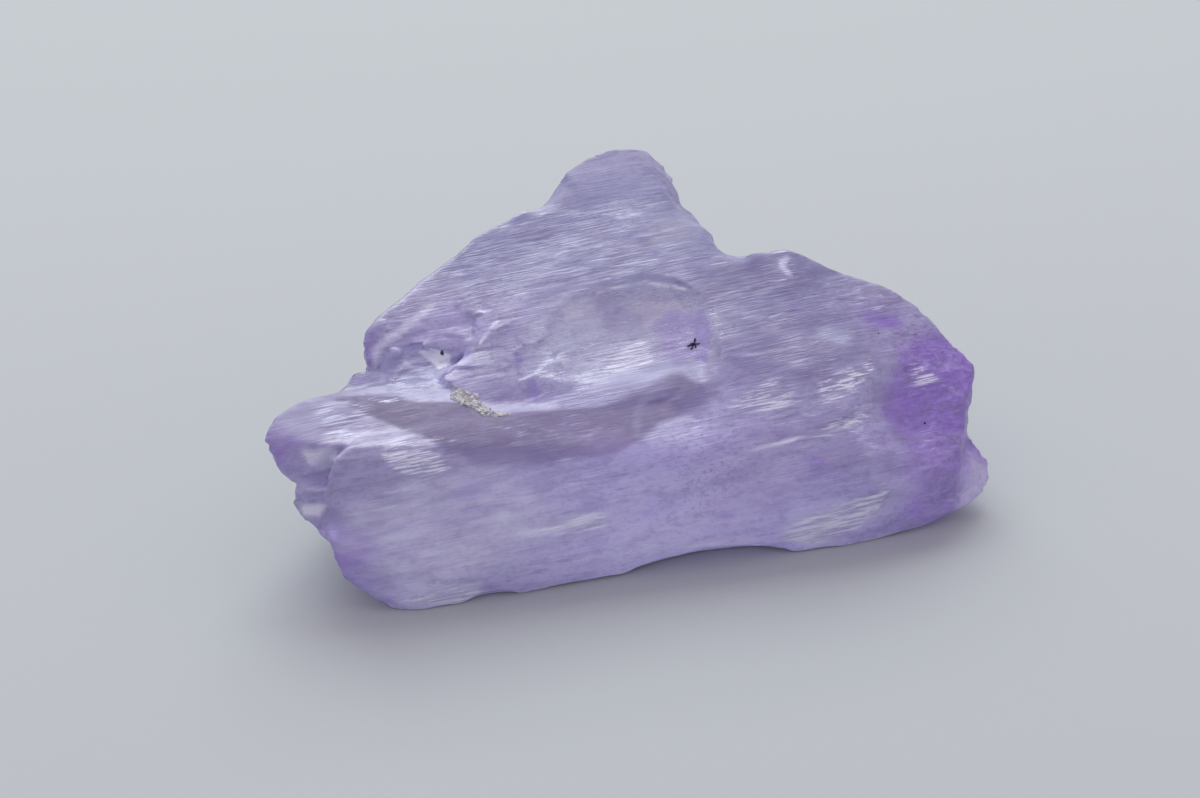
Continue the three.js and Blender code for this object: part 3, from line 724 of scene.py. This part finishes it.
pale_lines = kunzite.maths(
    "MAXIMUM", kunzite.times(kunzite.ramp(fibres, 0.52, 0.62), 0.6),
    kunzite.times(kunzite.ramp(threads, 0.54, 0.62), kunzite.maths("MULTIPLY_ADD", bunches, 0.7, 0.3)),
)
silk_and_glints = kunzite.maths(
    "MULTIPLY_ADD", silk, kunzite.ramp(strands, 0, 1, 0.0, 1.0), kunzite.times(pale_lines, lined, 0.24),
)
# The first share is painted glints: sparse bright threads in bunches, where the finest ridges catch the
# light.
for share in (
    kunzite.times(kunzite.ramp(threads, 0.60, 0.66), bunches, lined, 0.5),
    kunzite.times(kunzite.ramp(mottle, 0.50, 0.66), 0.14),
    kunzite.times(kunzite.ramp(clouds, 0.50, 0.64), 0.10),
    kunzite.times(kunzite.ramp(grit, 0.52, 0.66), gritty, 0.34),
):
    silk_and_glints = kunzite.maths("ADD", silk_and_glints, share)
silk_and_glints = kunzite.maths("MINIMUM", kunzite.maths("MAXIMUM", silk_and_glints, frost_and_glints), 1.0)
colour = kunzite.over(colour, MILKY, kunzite.times(silk_and_glints, 0.85))
colour = kunzite.over(colour, WHITE, kunzite.ramp(silk_and_glints, 0.65, 1.0, 0.0, 0.7))
rough = kunzite.times(
    kunzite.ramp(fibres, 0.3, 0.7, GLOSSY, SATIN), kunzite.ramp(clear, 0, 1, 1, POLISHED),
    kunzite.ramp(dull, 0, 1, 1, DULLED),
)
height = kunzite.node("ShaderNodeSeparateXYZ", {0: kunzite.mm}).outputs["Z"]
through = kunzite.ramp(silk_and_glints, 0, 1, CLEAN_THROUGH, MILKY_THROUGH)
for limit in (
    kunzite.ramp(silk, 0.1, 1, 1.0, SILK_THROUGH),
    kunzite.ramp(height, 0.1, 0.3, FOOT_THROUGH, 1.0),
    kunzite.ramp(dull, 0.5, 1, 1.0, DULL_THROUGH),
):
    through = kunzite.maths("MINIMUM", through, limit)
surface = kunzite.node("ShaderNodeBsdfPrincipled", {
    "Base Color": colour,
    "Roughness": rough,
    "IOR": SPODUMENE_IOR,
    "Transmission Weight": through,
    "Coat Weight": kunzite.ramp(dull, 0, 1, COAT, 0.0),
    "Coat Roughness": COAT_ROUGHNESS,
    "Coat IOR": SKIN_IOR,
})
fine = kunzite.node("ShaderNodeBump", {
    "Strength": LINE_STRENGTH, "Distance": FIBRE_DEPTH, "Height": fibres,
}).outputs[0]
fine = kunzite.node("ShaderNodeBump", {
    "Strength": LINE_STRENGTH, "Distance": THREAD_DEPTH, "Height": threads, "Normal": fine,
}).outputs[0]
depth = kunzite.node("ShaderNodeVolumeAbsorption", {"Color": DEEP_LILAC, "Density": THICKNESS})
for output, socket in (
    (fine, surface.inputs["Normal"]),
    (fine, surface.inputs["Coat Normal"]),
    (surface.outputs["BSDF"], kunzite.out.inputs["Surface"]),
    (depth.outputs["Volume"], kunzite.out.inputs["Volume"]),
):
    kunzite.fill(socket, output)
mesh.materials.clear()
mesh.materials.append(kunzite.material)
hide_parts("kunzite_crystal")
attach(crystal, "root")

# ---------------------------------------------------------------------------------------------------------
# The pocket clay: a crust of cream-white crumbs, clay and feldspar from the pocket that the crystal grew in.
# It has dried on where the shelf meets the mass above it.

LUMPINESS, LUMP_SCALE = 0.55, 1.3
LEAN_AXIS = (0.3, 0.5, 1.0)  # the grains turn round it
GRAIN_STEP = 7.1  # the lumps of one grain are cut from a place this far from the last one's


def crumbs(name, places):
    """A mesh of small irregular grains, each given as its middle in mm, three radii and a turn in degrees."""
    corners, faces = [], []
    for number, (middle, radii, turn) in enumerate(places):
        bpy.ops.mesh.primitive_ico_sphere_add(subdivisions=3, radius=1)
        source = bpy.context.object.data
        spots = values(source.vertices, "co")
        place = Vector((GRAIN_STEP * number, 0, 0))
        lumps = np.array([noise.noise(Vector(spot) * LUMP_SCALE + place) for spot in spots])
        spots = spots * (1 + LUMPINESS * lumps)[:, None] * radii
        lean = np.array(Matrix.Rotation(math.radians(turn), 3, LEAN_AXIS))
        faces += [tuple(len(corners) + n for n in face.vertices) for face in source.polygons]
        corners += [tuple(spot * MM) for spot in spots @ lean.T + middle]
        bpy.data.objects.remove(bpy.context.object)
    grains = bpy.data.meshes.new(name)
    grains.from_pydata(corners, [], faces)
    made = bpy.data.objects.new(name, grains)
    bpy.context.collection.objects.link(made)
    return made


CRUST = ((-8.5, -2.9, 8.6), (-8.0, -3.5, 8.4), (-7.6, -4.0, 8.3), (-7.2, -4.8, 8.2), (-6.5, -5.1, 8.1))
CRUMBS = (70, 46, 24, 12)  # from corner to corner of the crust
SPREADS = (0.36, 0.34, 0.28, 0.20)  # mm, to either side of it
SMALLEST, LARGEST = 0.05, 0.14  # mm, the sizes of the crumbs
FLATTEST, LONGEST = 0.6, 1.25  # a crumb's three radii, in sizes
PROUD = 0.1  # how far a crumb's middle stands out from the skin, in sizes
CREAM, CLAY_GREY = (0.64, 0.65, 0.64, 1), (0.48, 0.48, 0.48, 1)
CLAY_ROUGHNESS, CLAY_RUB, RUB_DEPTH = 0.85, 0.6, 0.03 * MM
draw = np.random.default_rng(5)
places = []
for a, b, count, spread in zip(CRUST, CRUST[1:], CRUMBS, SPREADS):
    for share in draw.random(count):
        middle = Vector(a).lerp(Vector(b), share) + Vector(draw.uniform(-spread, spread, 3))
        size = draw.uniform(SMALLEST, LARGEST)
        radii = size * draw.uniform(FLATTEST, LONGEST, 3)
        spot, normal = skin.find_nearest(middle)[:2]
        places.append((np.array(spot + normal * PROUD * size), radii, draw.uniform(0, 360)))
clay = crumbs("pocket_clay", places)
dried = Shader("pocket_clay")
stain = dried.noise(0.5, 0.45, 1, 3, 0.6)
rub = dried.noise(0.09, 0.08, 2, 3, 0.7)
matt = dried.node("ShaderNodeBsdfPrincipled", {
    "Base Color": dried.over(CREAM, CLAY_GREY, dried.ramp(stain, 0.42, 0.66)),
    "Roughness": CLAY_ROUGHNESS,
    "Normal": dried.node("ShaderNodeBump", {
        "Strength": CLAY_RUB, "Distance": RUB_DEPTH, "Height": rub,
    }).outputs[0],
})
dried.fill(dried.out.inputs["Surface"], matt.outputs["BSDF"])
clay.data.materials.append(dried.material)
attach(clay, "root")

# ---------------------------------------------------------------------------------------------------------
# The dark specks: grains of a black mineral that the crystal's skin has grown around. Three are single
# grains, and the one in the chip is branched, from six grains.

SPECKS = (
    ((-8.4, 0.0, 9.35), (0.09, 0.08, 0.14), 10),
    ((14.9, -7.9, 5.4), (0.06, 0.05, 0.05), 0),
    ((13.4, -4.7, 9.1), (0.04, 0.04, 0.04), 0),
    ((3.7, -3.6, 9.9), (0.13, 0.10, 0.13), 20),
    ((3.75, -3.5, 10.1), (0.05, 0.04, 0.20), -8),
    ((3.5, -3.55, 9.9), (0.20, 0.05, 0.05), 25),
    ((3.9, -3.65, 9.85), (0.17, 0.05, 0.04), -35),
    ((3.6, -3.7, 9.7), (0.05, 0.05, 0.15), 40),
    ((3.85, -3.7, 9.7), (0.04, 0.04, 0.12), -30),
)
BLACK, DARK_GREY, SPECK_ROUGHNESS = (0.012, 0.012, 0.018, 1), (0.05, 0.045, 0.06, 1), 0.55
places = [(np.array(skin.find_nearest(middle)[0]), np.array(radii), turn) for middle, radii, turn in SPECKS]
specks = crumbs("dark_specks", places)
black = Shader("dark_specks")
sooty = black.node("ShaderNodeBsdfPrincipled", {
    "Base Color": black.over(BLACK, DARK_GREY, black.ramp(black.noise(0.2, 0.15), 0.4, 0.7)),
    "Roughness": SPECK_ROUGHNESS,
})
black.fill(black.out.inputs["Surface"], sooty.outputs["BSDF"])
specks.data.materials.append(black.material)
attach(specks, "root")

# ---------------------------------------------------------------------------------------------------------
# The table, the light and the camera: pale paper that runs out far behind, an even room and one large soft
# window high behind the crystal. They aren't part of it.

PAPER, PAPER_ROUGHNESS, PAPER_SIZE = (0.452, 0.496, 0.498, 1), 0.8, 3  # m
UNDER = 0.02 * MM  # the gap between the crystal's foot and the paper
ROOM, ROOM_LIGHT = (0.93, 0.83, 0.96, 1), 0.68
WINDOW_SIZE, WINDOW_LIGHT, WINDOW_COLOUR = 0.4, 1.75, (0.95, 1.0, 0.97)  # m, W
WINDOW_PLACE = (0.05, 0.30, 0.36)  # m

bpy.ops.mesh.primitive_plane_add(size=PAPER_SIZE)
floor = bpy.context.object
floor.name = "floor"
paper = Shader("paper")
cover = paper.node("ShaderNodeBsdfPrincipled", {"Base Color": PAPER, "Roughness": PAPER_ROUGHNESS})
paper.fill(paper.out.inputs["Surface"], cover.outputs["BSDF"])
floor.data.materials.append(paper.material)
floor.location.z = -UNDER

world = bpy.data.worlds.new("world")
bpy.context.scene.world = world
world.use_nodes = True
world.node_tree.nodes["Background"].inputs["Color"].default_value = ROOM
world.node_tree.nodes["Background"].inputs["Strength"].default_value = ROOM_LIGHT

lamp = bpy.data.lights.new("window", "AREA")
lamp.size, lamp.energy, lamp.color = WINDOW_SIZE, WINDOW_LIGHT, WINDOW_COLOUR
window = bpy.data.objects.new("window", lamp)
window.location = WINDOW_PLACE
window.rotation_euler = window.location.to_track_quat("Z", "Y").to_euler()
bpy.context.collection.objects.link(window)

AZIMUTH, ELEVATION = math.radians(-18), math.radians(30)
AIM = Vector((-2.09, -6.45, 9.05)) * MM
DISTANCE = 233.3 * MM
LENS, FILM = 140, 36  # mm
CLOSEST = 0.01  # m
BOUNCES = 24  # enough for light to find its way through the crystal
back = Vector((
    math.sin(AZIMUTH) * math.cos(ELEVATION), -math.cos(AZIMUTH) * math.cos(ELEVATION), math.sin(ELEVATION),
))
lens = bpy.data.cameras.new("camera")
lens.lens, lens.sensor_width, lens.clip_start = LENS, FILM, CLOSEST
camera = bpy.data.objects.new("camera", lens)
camera.location = AIM + DISTANCE * back
camera.rotation_euler = back.to_track_quat("Z", "Y").to_euler()
bpy.context.collection.objects.link(camera)
bpy.context.scene.camera = camera
bpy.context.scene.cycles.max_bounces = BOUNCES
bpy.context.scene.cycles.transmission_bounces = BOUNCES
bpy.context.scene.view_settings.view_transform = "Standard"
